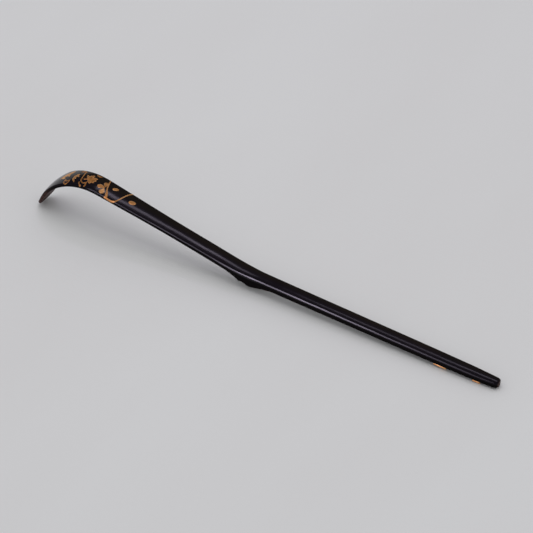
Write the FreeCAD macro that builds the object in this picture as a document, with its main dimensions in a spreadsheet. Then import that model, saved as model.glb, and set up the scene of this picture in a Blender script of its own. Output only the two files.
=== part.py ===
import FreeCAD, Part
import math
import os

import Sketcher
from FreeCAD import Placement, Rotation, Vector

# A lacquered bamboo tea scoop, lying face down as it is put away: the arched scoop's tip and the
# end of the handle touch the table, the convex back is up, and the bamboo's joint hangs below.
# Millimetres, +Z up. X runs along the scoop, from the tip (-X) to the tail of the handle (+X).
# The origin is on the table, under the middle of the scoop.
#
# The spine is the line along the crown of the back. Every coat is one sweep along it through the
# same stations, pulled in by the depth of the coats above it, so that each coat fits the next.
# The gold is a thin layer over the lacquer, cut to the outlines of the drawing.

# Driving dimensions, in millimetres and degrees, each with the name of its cell.
SPINE = {
    "tail_reach": 86.8,  # from the origin to the tail's end
    "tail_height": 2.85,  # crown of the back above the table, at the tail's end
    "handle_run": 85.4,
    "handle_tilt": 2.18,  # rise of the handle from the tail towards the joint
    "kink_radius": 83.0,
    "kink_turn": 9.12,  # turn of the spine at the bamboo's joint
    "arm_run": 49.4,
    "bend_radius": 21.8,
    "bend_turn": 71.1,  # turn of the scoop's arch
    "tip_run": 7.2,
}

# Width and thickness of the finished scoop at each station.
WIDTHS = {
    "tail": (3.3, 2.85),
    "heel": (3.9, 2.87),
    "swell": (4.3, 2.9),
    "hold": (4.55, 2.97),
    "grip": (4.7, 3.05),
    "waist": (4.78, 3.12),
    "middle": (4.85, 3.2),
    "reach": (4.95, 3.26),
    "knee": (5.1, 3.3),
    "joint": (5.7, 3.25),
    "neck": (6.05, 2.8),
    "shank": (6.1, 2.55),
    "rise": (6.3, 2.3),
    "arm": (7.0, 2.1),
    "shoulder": (7.95, 2.1),
    "crest": (8.4, 2.0),
    "arch": (8.85, 1.9),
    "fall": (9.2, 1.7),
    "blade": (9.05, 1.55),
    "tip": (7.8, 1.4),
}

# Each station's edge of the spine and its share of the way along that edge.
STATIONS = [
    ("tail", "Edge1", 0.0),
    ("heel", "Edge1", 0.06),
    ("swell", "Edge1", 0.12),
    ("hold", "Edge1", 0.24),
    ("grip", "Edge1", 0.37),
    ("waist", "Edge1", 0.52),
    ("middle", "Edge1", 0.67),
    ("reach", "Edge1", 0.84),
    ("knee", "Edge1", 1.0),
    ("joint", "Edge2", 0.5),
    ("neck", "Edge2", 1.0),
    ("shank", "Edge3", 0.2),
    ("rise", "Edge3", 0.4),
    ("arm", "Edge3", 0.68),
    ("shoulder", "Edge3", 1.0),
    ("crest", "Edge4", 0.25),
    ("arch", "Edge4", 0.5),
    ("fall", "Edge4", 0.75),
    ("blade", "Edge4", 1.0),
    ("tip", "Edge5", 1.0),
]

SECTION = {
    "crown_share": 0.06,  # rise of the crowned back, as a share of the width
    "crown_limit": 0.34,  # and at most this share of the thickness
    "upper_bevel": 0.45,
    "upper_limit": 0.22,
    "lower_bevel": 0.7,
    "lower_limit": 0.25,
}

TIP = {
    "tip_radius": 4.0,  # round end of the blade, seen square on
    "tip_flare": 15.0,  # angle at which the round end runs out into the blade's sides
    "tip_margin": 6.0,  # the cutter reaches this far past the middle, and past the end
    "tip_cut": 3.0,
}

RIDGE = {
    "ridge_share": 0.25,  # place of the joint's ridge along the kink
    "ridge_width": 4.8,
    "tail_chamfer": 0.6,
}

COATS = {
    "lacquer_depth": 0.15,
    "ground_depth": 0.2,
    "gold_height": 0.12,  # gold on the back stands this proud
    "edge_gold_height": 0.4,  # the thicker gold on the lower edge, near the tail
}

GOLD = {
    "spray_reach": 60.57,  # from the origin to the spray's middle, near the start of the arch
    "spray_height": 25.0,  # its outlines are cut this far up, through the gold's layer
    "mark_reach": 67.2,  # from the origin to the leaf on the handle's lower edge
    "mark_gap": 12.5,  # from that leaf to the bud by the tail
    "mark_depth": 6.0,
}

# The drawing in gold, seen from above. Each brush mark is two arcs from its start to its end, one
# on each side of its middle: (start, middle, end, breadth), in millimetres from the spray's middle,
# towards the tip and towards the far side.
SPRAY = {
    "gold_lower_bud": [
        ((-13.1, 0.0), (-11.9, -0.35), (-10.7, -0.6), 1.7),
    ],
    "gold_upper_bud": [
        ((-5.5, 1.8), (-4.4, 1.1), (-3.3, 0.5), 1.3),
    ],
    "gold_lower_vine": [
        ((-9.8, 3.7), (-8.5, 0.7), (-7.4, -2.9), 0.55),
        ((-7.5, -2.6), (-7.0, -3.5), (-5.9, -3.95), 0.55),
        ((-6.3, -3.9), (-4.9, -4.0), (-3.3, -3.7), 0.6),
    ],
    "gold_upper_vine": [
        ((-4.1, -3.2), (-2.5, -0.9), (-1.2, 2.0), 0.55),
        ((-1.7, 1.0), (-1.1, 2.3), (-0.8, 3.3), 0.55),
    ],
    "gold_blossom": [
        ((-1.6, -0.7), (-0.1, -0.9), (1.2, -1.4), 1.6),
        ((-1.0, -0.5), (-1.4, -2.0), (-1.4, -3.4), 1.8),
        ((-1.2, -1.0), (-0.8, 0.5), (-0.5, 1.7), 1.5),
    ],
    "gold_leaf": [
        ((7.0, -0.9), (5.9, -0.5), (4.8, -0.1), 0.7),
        ((5.9, 0.2), (4.3, 0.4), (2.8, 1.1), 2.2),
        ((5.6, 0.3), (6.6, 0.8), (7.2, 1.6), 1.0),
        ((4.9, 0.5), (5.0, 1.4), (4.6, 2.2), 1.1),
        ((4.8, -0.2), (3.7, -0.4), (2.6, -0.2), 1.1),
        ((4.8, -0.3), (4.3, -1.2), (3.7, -2.0), 1.2),
    ],
    "gold_edge_leaf": [
        ((2.2, 3.4), (3.3, 2.9), (4.4, 3.3), 0.7),
    ],
    "gold_tendril": [
        ((8.8, 2.9), (8.1, 0.6), (7.6, -1.4), 0.45),
        ((7.7, -1.1), (6.9, -2.4), (5.5, -2.6), 0.45),
        ((5.9, -2.7), (5.2, -2.3), (4.9, -1.6), 0.45),
        ((5.2, -2.2), (4.8, -3.2), (4.8, -4.1), 0.55),
        ((8.3, 2.9), (9.3, 3.3), (10.6, 2.8), 0.6),
    ],
    "gold_curl": [
        ((7.6, -2.5), (7.1, -3.5), (6.2, -4.2), 0.5),
    ],
    "gold_small_leaf": [
        ((10.1, 1.7), (10.7, -0.1), (10.9, -1.9), 0.9),
        ((10.6, 0.4), (9.9, 0.0), (9.3, -0.4), 0.6),
        ((11.0, -1.7), (10.1, -2.4), (9.3, -3.3), 0.55),
    ],
    "gold_loop": [
        ((13.5, -2.1), (13.6, -3.2), (12.8, -4.4), 0.5),
        ((13.1, -4.2), (11.8, -4.2), (11.5, -2.5), 0.5),
        ((13.5, -2.6), (12.6, -2.9), (11.6, -2.6), 0.5),
    ],
    "gold_arch_leaf": [
        ((13.7, 2.6), (14.9, 0.5), (16.2, -1.6), 1.3),
        ((14.6, 1.0), (13.9, 0.3), (13.4, -0.5), 0.7),
        ((15.6, -0.7), (15.0, -1.3), (14.3, -1.7), 0.7),
    ],
}

# The two marks on the lower near edge, seen from that side: millimetres towards the tail and up,
# from the leaf's place on the edge.
EDGE_MARKS = {
    "gold_edge_spray": [
        ((-2.2, 1.2), (-0.6, 1.1), (0.9, 1.2), 0.4),
        ((0.3, 1.2), (1.3, 1.15), (2.2, 1.1), 0.65),
    ],
    "gold_edge_bud": [
        ((-1.3, 0.8), (-0.4, 0.75), (0.5, 0.75), 0.3),
        ((0.1, 0.75), (0.8, 0.7), (1.4, 0.65), 0.5),
    ],
}

SIZES = {}
for group in (SPINE, SECTION, TIP, RIDGE, COATS, GOLD):
    SIZES.update(group)
for name, (width, thickness) in WIDTHS.items():
    SIZES["width_" + name] = width
    SIZES["thick_" + name] = thickness

doc = FreeCAD.newDocument("tea_scoop")


def fill_sheet():
    """Put every driving dimension in the sheet, each under its own alias."""
    sheet = doc.addObject("Spreadsheet::Sheet", "Dims")
    for row, (name, value) in enumerate(SIZES.items(), start=1):
        sheet.set("A%d" % row, name)
        sheet.set("B%d" % row, str(value))
        sheet.setAlias("B%d" % row, name)
    doc.recompute()


def origin_plane(body, role):
    return next(item for item in body.Origin.OriginFeatures if item.Role == role)


def new_sketch(body, name, support, mode="FlatFace"):
    sketch = body.newObject("Sketcher::SketchObject", name)
    sketch.AttachmentSupport = [support]
    sketch.MapMode = mode
    return sketch


ORIGIN = -1  # Sketcher's index for the origin
UPRIGHT = -2  # and for the vertical axis
START, END = 1, 2  # the two ends of a line or an arc


def bind(sketch, kind, places, start, expression):
    """Add a dimension and drive it from the sheet."""
    index = sketch.addConstraint(Sketcher.Constraint(kind, *places, start))
    sketch.setExpression("Constraints[%d]" % index, expression)


def offset_by(sketch, axis, expression):
    sketch.setExpression("AttachmentOffset.Base." + axis, expression)


def end_near(sketch, piece, point):
    return min((START, END), key=lambda end: (sketch.getPoint(piece, end) - point).Length)


def draw_chain(sketch, pieces):
    """Draw lines (two points) and arcs (three points) end to end, and close the outline."""
    for points in pieces:
        maker = Part.LineSegment if len(points) == 2 else Part.Arc
        sketch.addGeometry(maker(*(Vector(*point) for point in points)), False)
    for index, points in enumerate(pieces):
        before = index - 1 if index else len(pieces) - 1
        corner = Vector(*points[0])
        meeting = (before, end_near(sketch, before, corner), index, end_near(sketch, index, corner))
        sketch.addConstraint(Sketcher.Constraint("Coincident", *meeting))


def draw_spine(body, depth):
    """Handle, kink, arm, arch and tip: straight runs joined by tangent arcs, from the tail on.

    A coat under the surface stops that depth short of both ends.
    """
    sketch = new_sketch(body, body.Name + "_spine", (origin_plane(body, "XZ_Plane"), ""))
    place = Vector(SPINE["tail_reach"], SPINE["tail_height"])
    heading = 180 - SPINE["handle_tilt"]
    runs = [
        ("handle_run",),
        ("kink_radius", "kink_turn", -1),
        ("arm_run",),
        ("bend_radius", "bend_turn", 1),
        ("tip_run",),
    ]
    for index, run in enumerate(runs):
        along = Rotation(Vector(0, 0, 1), heading).multVec(Vector(1, 0, 0))
        if len(run) == 1:
            end = place + along * SPINE[run[0]]
            sketch.addGeometry(Part.LineSegment(place, end), False)
            inset = "0" if run[0] == "arm_run" else depth
            bind(sketch, "Distance", (index,), SPINE[run[0]], "Dims.%s - %s" % (run[0], inset))
        else:
            radius, turn, side = run
            centre = place + Vector(-along.y, along.x) * side * SPINE[radius]
            half_turn = Rotation(Vector(0, 0, 1), side * SPINE[turn] / 2)
            middle = centre + half_turn.multVec(place - centre)
            end = centre + half_turn.multVec(middle - centre)
            sketch.addGeometry(Part.Arc(place, middle, end), False)
            bind(sketch, "Radius", (index,), SPINE[radius], "Dims." + radius)
            bind(sketch, "Angle", (index,), math.radians(SPINE[turn]), "Dims." + turn)
            heading += side * SPINE[turn]
        if index:
            before = end_near(sketch, index - 1, place)
            meeting = (index - 1, before, index, end_near(sketch, index, place))
            sketch.addConstraint(Sketcher.Constraint("Tangent", *meeting))
        place = end
    bind(sketch, "Angle", (0,), math.radians(180 - SPINE["handle_tilt"]), "180 - Dims.handle_tilt")
    first = (ORIGIN, START, 0, START)
    tail_x = "Dims.tail_reach - %s * cos(Dims.handle_tilt * 1 deg)" % depth
    tail_z = "Dims.tail_height + %s * sin(Dims.handle_tilt * 1 deg)" % depth
    bind(sketch, "DistanceX", first, SPINE["tail_reach"], tail_x)
    bind(sketch, "DistanceY", first, SPINE["tail_height"], tail_z)
    return sketch


def draw_section(body, spine, station, depth, under):
    """One coat's section: a crowned back, bevelled edges and a flat face.

    The sketch's origin is the top of the crown, its y is out of the back, and it looks along the
    spine. The outline runs clockwise from the crown: near bevel, side, lower bevel, face, and back
    up the other side.
    """
    name, edge, share = station
    sketch = new_sketch(body, "%s_%s" % (body.Name, name), (spine, edge), "NormalToEdge")
    sketch.MapPathParameter = share
    offset_by(sketch, "y", "-(%s)" % depth)
    wide = "(Dims.width_%s - 2 * %s)" % (name, depth)
    deep = "(Dims.thick_%s - %s - %s)" % (name, depth, under)
    width, thickness = WIDTHS[name]
    drop = SECTION["crown_share"] * width
    upper = SECTION["upper_limit"] * thickness
    lower = SECTION["lower_limit"] * thickness
    side = width / 2
    right = [
        (side - upper, -drop),
        (side, -drop - upper),
        (side, lower - thickness),
        (side - lower, -thickness),
    ]
    left = [(-x, y) for x, y in reversed(right)]
    corners = right + left
    pieces = [(left[-1], (0, 0), right[0])]
    pieces += [(one, two) for one, two in zip(corners, corners[1:])]
    draw_chain(sketch, pieces)
    crown, bevel, wall, lower_bevel, face, far_lower, far_wall, far_bevel = range(8)
    sketch.addConstraint(Sketcher.Constraint("PointOnObject", ORIGIN, START, crown))
    for one, two in ((bevel, far_bevel), (wall, far_wall), (lower_bevel, far_lower)):
        sketch.addConstraint(Sketcher.Constraint("Symmetric", one, START, two, END, UPRIGHT))
    sketch.addConstraint(Sketcher.Constraint("Symmetric", face, START, face, END, UPRIGHT))
    sketch.addConstraint(Sketcher.Constraint("Vertical", wall))
    bind(sketch, "DistanceX", (far_wall, START, wall, START), width, wide)
    bind(sketch, "DistanceY", (face, START, ORIGIN, START), thickness, deep)
    crown_drop = "min(Dims.crown_share * %s; Dims.crown_limit * %s)" % (wide, deep)
    bind(sketch, "DistanceY", (bevel, START, ORIGIN, START), drop, crown_drop)
    upper_cut = "min(Dims.upper_bevel; Dims.upper_limit * %s)" % deep
    bind(sketch, "DistanceX", (bevel, START, bevel, END), upper, upper_cut)
    bind(sketch, "DistanceY", (bevel, END, bevel, START), upper, upper_cut)
    lower_cut = "min(Dims.lower_bevel; Dims.lower_limit * %s)" % deep
    bind(sketch, "DistanceX", (lower_bevel, END, lower_bevel, START), lower, lower_cut)
    bind(sketch, "DistanceY", (lower_bevel, END, lower_bevel, START), lower, lower_cut)
    return sketch


def round_tip(body, spine, depth):
    """Cut the blade's end to a round arc that runs out into its sides."""
    sketch = new_sketch(body, body.Name + "_tip_outline", (spine, "Edge5"), "NormalToEdge")
    sketch.MapPathParameter = 1.0
    sketch.AttachmentOffset = Placement(Vector(0, 0, 0), Rotation(Vector(1, 0, 0), 90))
    radius = TIP["tip_radius"]
    margin = TIP["tip_margin"]
    flare = math.radians(TIP["tip_flare"])
    arc_end = Vector(radius * math.cos(flare), radius * (1 - math.sin(flare)))
    run_out = arc_end.y + (margin - arc_end.x) / math.tan(flare)
    right = [tuple(arc_end)[:2], (margin, run_out), (margin, -margin)]
    left = [(-x, y) for x, y in reversed(right)]
    corners = right + left
    pieces = [(left[-1], (0, 0), right[0])]
    pieces += [(one, two) for one, two in zip(corners, corners[1:])]
    draw_chain(sketch, pieces)
    arc, flank, wall, base, far_wall, far_flank = range(6)
    sketch.addConstraint(Sketcher.Constraint("PointOnObject", ORIGIN, START, arc))
    sketch.addConstraint(Sketcher.Constraint("Symmetric", flank, START, far_flank, END, UPRIGHT))
    sketch.addConstraint(Sketcher.Constraint("Symmetric", wall, START, far_wall, END, UPRIGHT))
    sketch.addConstraint(Sketcher.Constraint("Symmetric", base, START, base, END, UPRIGHT))
    sketch.addConstraint(Sketcher.Constraint("Vertical", wall))
    bind(sketch, "Radius", (arc,), radius, "Dims.tip_radius - %s" % depth)
    bind(sketch, "Angle", (arc,), math.pi - 2 * flare, "180 - 2 * Dims.tip_flare")
    bind(sketch, "Angle", (flank,), math.pi / 2 - flare, "90 - Dims.tip_flare")
    bind(sketch, "DistanceX", (ORIGIN, START, wall, START), margin, "Dims.tip_margin")
    bind(sketch, "DistanceY", (base, START, ORIGIN, START), margin, "Dims.tip_margin")
    doc.recompute()
    pocket = body.newObject("PartDesign::Pocket", body.Name + "_tip_round")
    pocket.Profile = sketch
    pocket.SideType = "Symmetric"
    pocket.setExpression("Length", "2 * Dims.tip_cut")


def add_ridge(body, spine, depth):
    """The bamboo's joint: a double ridge across the face, the sheath's scar and then the node."""
    sketch = new_sketch(body, body.Name + "_ridge_outline", (spine, "Edge2"), "NormalToEdge")
    sketch.setExpression("MapPathParameter", "Dims.ridge_share")
    sketch.AttachmentOffset = Placement(Vector(0, 0, 0), Rotation(Vector(0, 1, 0), 90))
    offset_by(sketch, "y", depth)
    tail_foot, tip_foot = (-9.05, -2.5), (9.45, -2.0)
    draw_chain(
        sketch,
        [
            (tail_foot, (-6.55, -3.1)),
            ((-6.55, -3.1), (-4.05, -3.64)),
            ((-4.05, -3.64), (-0.3, -4.66)),
            ((-0.3, -4.66), (0.25, -4.75), (0.7, -4.62)),
            ((0.7, -4.62), (2.95, -3.96)),
            ((2.95, -3.96), (3.8, -4.14), (4.75, -3.55)),
            ((4.75, -3.55), (6.95, -2.8)),
            ((6.95, -2.8), tip_foot),
            (tip_foot, tail_foot),
        ],
    )
    doc.recompute()
    pad = body.newObject("PartDesign::Pad", body.Name + "_ridge")
    pad.Profile = sketch
    pad.SideType = "Symmetric"
    pad.setExpression("Length", "Dims.ridge_width - 2 * %s" % depth)


def chamfer_tail(body):
    """Break the sharp edges round the end of the handle."""
    doc.recompute()
    solid = body.Tip
    faces = solid.Shape.Faces
    last = max(range(len(faces)), key=lambda index: faces[index].CenterOfMass.x)
    chamfer = body.newObject("PartDesign::Chamfer", body.Name + "_tail")
    chamfer.Base = (solid, ["Face%d" % (last + 1)])
    chamfer.setExpression("Size", "Dims.tail_chamfer")


def sweep_coat(label, depth, under=None):
    """The solid whose skin lies the given depth under the finished surface.

    A layer that lies on the back and sides only has another depth under its face.
    """
    under = depth if under is None else under
    body = doc.addObject("PartDesign::Body", label)
    doc.recompute()
    spine = draw_spine(body, depth)
    doc.recompute()
    sections = [draw_section(body, spine, station, depth, under) for station in STATIONS]
    doc.recompute()
    sweep = body.newObject("PartDesign::AdditivePipe", label + "_sweep")
    sweep.Profile = sections[0]
    sweep.Sections = sections[1:]
    sweep.Spine = (spine, [])
    sweep.Transformation = "Multisection"
    sweep.Mode = "Binormal"
    sweep.Binormal = Vector(0, 1, 0)
    doc.recompute()
    add_ridge(body, spine, under)
    round_tip(body, spine, depth)
    chamfer_tail(body)
    doc.recompute()
    return body


def brush_mark(body, name, support, mark):
    """One stroke, petal or bud: an outline of two arcs."""
    start, middle, end, breadth = mark
    first, last = Vector(*start), Vector(*end)
    along = (last - first).normalize()
    across = Vector(-along.y, along.x) * breadth / 2
    one_side = tuple(Vector(*middle) + across)[:2]
    other_side = tuple(Vector(*middle) - across)[:2]
    sketch = new_sketch(body, name, support)
    draw_chain(sketch, [(start, one_side, end), (end, other_side, start)])
    return sketch


def cut_gold(label, marks, role, turn, place, length, layer):
    """The gold of one motif: its brush marks, carried up through the gold's layer."""
    body = doc.addObject("PartDesign::Body", label + "_outline")
    body.AllowCompound = True
    doc.recompute()
    plane = (origin_plane(body, role), "")
    for index, mark in enumerate(marks):
        name = "%s_mark_%d" % (label, index)
        sketch = brush_mark(body, name, plane, mark)
        sketch.AttachmentOffset = Placement(Vector(0, 0, 0), turn)
        offset_by(sketch, "x", place)
        doc.recompute()
        pad = body.newObject("PartDesign::Pad", name + "_pad")
        pad.Profile = sketch
        pad.setExpression("Length", length)
        pad.Reversed = role == "XY_Plane"
    gold = doc.addObject("Part::MultiCommon", label)
    gold.Shapes = [body, layer]
    return gold


def cut(label, base, tool):
    piece = doc.addObject("Part::Cut", label)
    piece.Base = base
    piece.Tool = tool
    return piece


def build_scoop():
    """Bamboo, ground and lacquer, then the gold on the back and on the lower near edge."""
    lacquer = sweep_coat("lacquer_body", "0")
    ground = sweep_coat("ground_body", "Dims.lacquer_depth")
    core = sweep_coat("bamboo_core", "(Dims.lacquer_depth + Dims.ground_depth)")
    pieces = [
        core,
        cut("ground_coat", ground, core),
        cut("lacquer_coat", lacquer, ground),
    ]
    over_back = sweep_coat("back_gold_body", "-Dims.gold_height", "0")
    back_layer = cut("back_layer", over_back, lacquer)
    face_over = Rotation(Vector(0, 1, 0), 180)
    for label, marks in SPRAY.items():
        pieces.append(
            cut_gold(
                label, marks, "XY_Plane", face_over, "-Dims.spray_reach", "Dims.spray_height", back_layer
            )
        )
    edge_layer = cut("edge_layer", sweep_coat("edge_gold_body", "-Dims.edge_gold_height"), lacquer)
    places = ["Dims.mark_reach", "Dims.mark_reach + Dims.mark_gap"]
    for (label, marks), place in zip(EDGE_MARKS.items(), places):
        pieces.append(
            cut_gold(label, marks, "XZ_Plane", Rotation(), place, "Dims.mark_depth", edge_layer)
        )
    return pieces


def check(pieces):
    """Stop if any object failed, or any piece is not a sound solid."""
    for item in doc.Objects:
        if "Invalid" in item.State or "Error" in item.State:
            raise RuntimeError("%s failed: %s" % (item.Name, item.State))
    for piece in pieces:
        shape = piece.Shape
        if shape.isNull() or not shape.isValid() or not shape.Solids:
            raise RuntimeError(piece.Name + " is not a sound solid")
        print("%s: %d solids, %.3f mm3" % (piece.Name, len(shape.Solids), shape.Volume))


def main():
    fill_sheet()
    pieces = build_scoop()
    doc.recompute()
    check(pieces)
    os.makedirs("parts", exist_ok=True)
    for piece in pieces:
        piece.Label = piece.Name
        piece.Shape.exportStep("parts/%s.step" % piece.Name)


main()
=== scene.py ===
import math

import bmesh
import bpy
import numpy as np
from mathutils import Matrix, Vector


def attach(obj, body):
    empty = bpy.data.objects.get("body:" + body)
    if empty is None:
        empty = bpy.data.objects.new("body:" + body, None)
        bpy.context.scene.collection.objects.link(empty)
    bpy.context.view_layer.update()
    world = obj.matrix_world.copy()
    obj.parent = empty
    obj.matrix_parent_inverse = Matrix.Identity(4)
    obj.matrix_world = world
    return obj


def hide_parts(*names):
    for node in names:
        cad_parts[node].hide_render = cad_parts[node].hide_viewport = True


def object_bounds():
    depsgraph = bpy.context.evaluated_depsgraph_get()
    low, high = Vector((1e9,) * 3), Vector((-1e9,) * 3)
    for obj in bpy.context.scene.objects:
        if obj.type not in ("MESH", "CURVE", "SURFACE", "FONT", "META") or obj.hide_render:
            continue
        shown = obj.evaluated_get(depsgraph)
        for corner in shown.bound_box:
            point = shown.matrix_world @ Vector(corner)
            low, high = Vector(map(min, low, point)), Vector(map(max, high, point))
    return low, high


# The looks of a lacquered bamboo tea scoop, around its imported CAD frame. Metres, +Z up, the scoop
# along X with its tip at -X. Lengths on the scoop are written in millimetres and turned to metres
# where a mesh is made.

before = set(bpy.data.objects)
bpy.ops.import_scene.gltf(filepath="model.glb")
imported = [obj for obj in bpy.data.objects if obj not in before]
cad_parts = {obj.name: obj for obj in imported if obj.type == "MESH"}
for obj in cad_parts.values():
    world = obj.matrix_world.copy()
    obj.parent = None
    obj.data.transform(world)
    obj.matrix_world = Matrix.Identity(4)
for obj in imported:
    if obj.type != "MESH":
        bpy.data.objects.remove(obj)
cad_low, cad_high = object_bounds()

MM = 0.001
DEGREE = math.pi / 180

# ---------------------------------------------------------------- the scoop's spine and section
TAIL_REACH = cad_high.x / MM  # the tail's end, along X
TAIL_HEIGHT = 2.85  # crown of the back above the table, at the tail's end
HANDLE_RUN = 85.4
HANDLE_TILT = 2.18 * DEGREE
KINK_RADIUS = 83.0
KINK_TURN = 9.12 * DEGREE
ARM_RUN = 49.4
BEND_RADIUS = 21.8
BEND_TURN = 71.1 * DEGREE
TIP_RUN = 7.2

KINK_RUN = KINK_RADIUS * KINK_TURN
BEND_RUN = BEND_RADIUS * BEND_TURN
KINK_START = HANDLE_RUN
ARM_START = KINK_START + KINK_RUN
BEND_START = ARM_START + ARM_RUN
TIP_START = BEND_START + BEND_RUN
SCOOP_LENGTH = TIP_START + TIP_RUN
ARM_TILT = HANDLE_TILT + KINK_TURN

# Place along the spine, width and thickness.
STATIONS = [
    (0.0, 3.3, 2.85),
    (0.06 * HANDLE_RUN, 3.9, 2.87),
    (0.12 * HANDLE_RUN, 4.3, 2.9),
    (0.24 * HANDLE_RUN, 4.55, 2.97),
    (0.37 * HANDLE_RUN, 4.7, 3.05),
    (0.52 * HANDLE_RUN, 4.78, 3.12),
    (0.67 * HANDLE_RUN, 4.85, 3.2),
    (0.84 * HANDLE_RUN, 4.95, 3.26),
    (KINK_START, 5.1, 3.3),
    (KINK_START + 0.5 * KINK_RUN, 5.7, 3.25),
    (ARM_START, 6.05, 2.8),
    (ARM_START + 0.2 * ARM_RUN, 6.1, 2.55),
    (ARM_START + 0.4 * ARM_RUN, 6.3, 2.3),
    (ARM_START + 0.68 * ARM_RUN, 7.0, 2.1),
    (BEND_START, 7.95, 2.1),
    (BEND_START + 0.25 * BEND_RUN, 8.4, 2.0),
    (BEND_START + 0.5 * BEND_RUN, 8.85, 1.9),
    (BEND_START + 0.75 * BEND_RUN, 9.2, 1.7),
    (TIP_START, 9.05, 1.55),
    (SCOOP_LENGTH, 7.8, 1.4),
]

# Place along the spine, and rise of the crowned back as a share of the width.
CROWN_PROFILE = [(0.0, 0.062), (90.0, 0.06), (125.0, 0.057), (140.0, 0.05), (SCOOP_LENGTH, 0.046)]
UPPER_BEVEL = 0.45
UPPER_LIMIT = 0.22  # the upper bevel takes no more than this share of the thickness
ARM_BEVEL_SHARE = 0.7  # beyond the joint the upper bevel narrows to this share
ARM_BEVEL_FADE = 8.0  # and it narrows over this run
LOWER_BEVEL = 0.7
LOWER_LIMIT = 0.25  # the lower bevel takes no more than this share of the thickness
JOINT_LOWER_SHARE = 0.5  # at the joint the lower bevel narrows to this share
JOINT_FULL_RISE = 0.5  # and is that narrow where the joint stands out this far
TIP_LOWER_SHARE = 0.7  # at the tip the lower bevel narrows to this share
TIP_LOWER_START = 8.0  # and starts to narrow this far from the tip
TIP_LOWER_FADE = 5.0  # over this run
EDGE_SOFTNESS = 0.12  # how far each bevel's edges are rubbed round
LIP_REACH = 1.2  # the outermost lip, as a multiple of that softness
LIP_DROP = 0.3  # how far the lip turns down, as a share of its reach
TIP_RADIUS = 4.0
TIP_FLARE = 15 * DEGREE
TAIL_CORNER = 1.3
FACE_GROOVE = 0.08  # hollow along the middle of the face
LEAST_FACE = 0.2  # the groove is never narrower than twice this
TIP_THINNING = 0.45  # how far the back falls away towards the tip, beyond its bend
THINNING_RUN = 9.0

# The unevenness of the back: each wave's height, radians to the millimetre along and across, and
# phase.
WAVES = [(0.006, 0.41, 0.6, 0.0), (0.004, 0.93, 0.0, 1.7)]
WAVE_DEPTH = 0.02  # the mean depth of the waves under the spine's line

# The bamboo's joint, under the face: place along the spine and how far it stands out.
JOINT_PROFILE = [
    (80.7, 0.0),
    (82.7, 0.12),
    (84.7, 0.44),
    (86.7, 0.9),
    (88.4, 1.36),
    (89.0, 1.42),
    (89.5, 1.3),
    (90.6, 0.94),
    (91.4, 0.74),
    (91.9, 0.82),
    (92.4, 1.0),
    (92.7, 0.93),
    (93.3, 0.52),
    (95.7, 0.14),
    (97.7, 0.0),
]

# How much of its polish the lacquer keeps: the crown of the back and its upper edges are dulled by
# handling in some places, and the sides, the face and the blade's end are hardly polished at all.
# Where the polish is lowest the lacquer's black is also painted deeper, as painted shade.
CROWN_POLISH = [
    (0.0, 0.6),
    (28.0, 0.34),
    (62.0, 0.3),
    (80.0, 0.12),
    (95.0, 0.6),
    (106.0, 0.95),
    (125.0, 0.7),
    (150.0, 0.85),
    (SCOOP_LENGTH - 14, 0.8),
    (SCOOP_LENGTH - 4, 0.25),
]
EDGE_POLISH = [
    (0.0, 0.28),
    (25.0, 0.3),
    (40.0, 0.4),
    (55.0, 0.62),
    (68.0, 0.95),
    (80.0, 0.6),
    (90.0, 1.0),
    (96.0, 1.0),
    (106.0, 0.42),
    (125.0, 0.42),
    (135.0, 0.27),
    (SCOOP_LENGTH - 14, 0.34),
    (SCOOP_LENGTH - 4, 0.1),
]
SIDE_POLISH_AND_SHADE = 0.05


def smooth_curve(points):
    """A curve through the points that never overshoots them (monotone cubic)."""
    xs = np.array([point[0] for point in points], float)
    ys = np.array([point[1] for point in points], float)
    steps = np.diff(xs)
    slopes = np.diff(ys) / steps
    turns = np.zeros(len(xs))
    same = slopes[:-1] * slopes[1:] > 0
    before, after = slopes[:-1][same], slopes[1:][same]
    turns[1:-1][same] = 2 * before * after / (before + after)
    turns[0], turns[-1] = slopes[0], slopes[-1]

    def curve(x):
        x = np.clip(np.asarray(x, float), xs[0], xs[-1])
        at = np.clip(np.searchsorted(xs, x, side="right") - 1, 0, len(xs) - 2)
        share = (x - xs[at]) / steps[at]
        rise = share * share * (3 - 2 * share)
        into = share * (1 - share) ** 2 * turns[at] - share**2 * (1 - share) * turns[at + 1]
        return ys[at] + (ys[at + 1] - ys[at]) * rise + into * steps[at]

    return curve


width_at = smooth_curve([(place, width) for place, width, thickness in STATIONS])
thickness_at = smooth_curve([(place, thickness) for place, width, thickness in STATIONS])
joint_at = smooth_curve(JOINT_PROFILE)
crown_at = smooth_curve(CROWN_PROFILE)
crown_polish_at = smooth_curve(CROWN_POLISH)
edge_polish_at = smooth_curve(EDGE_POLISH)


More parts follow.
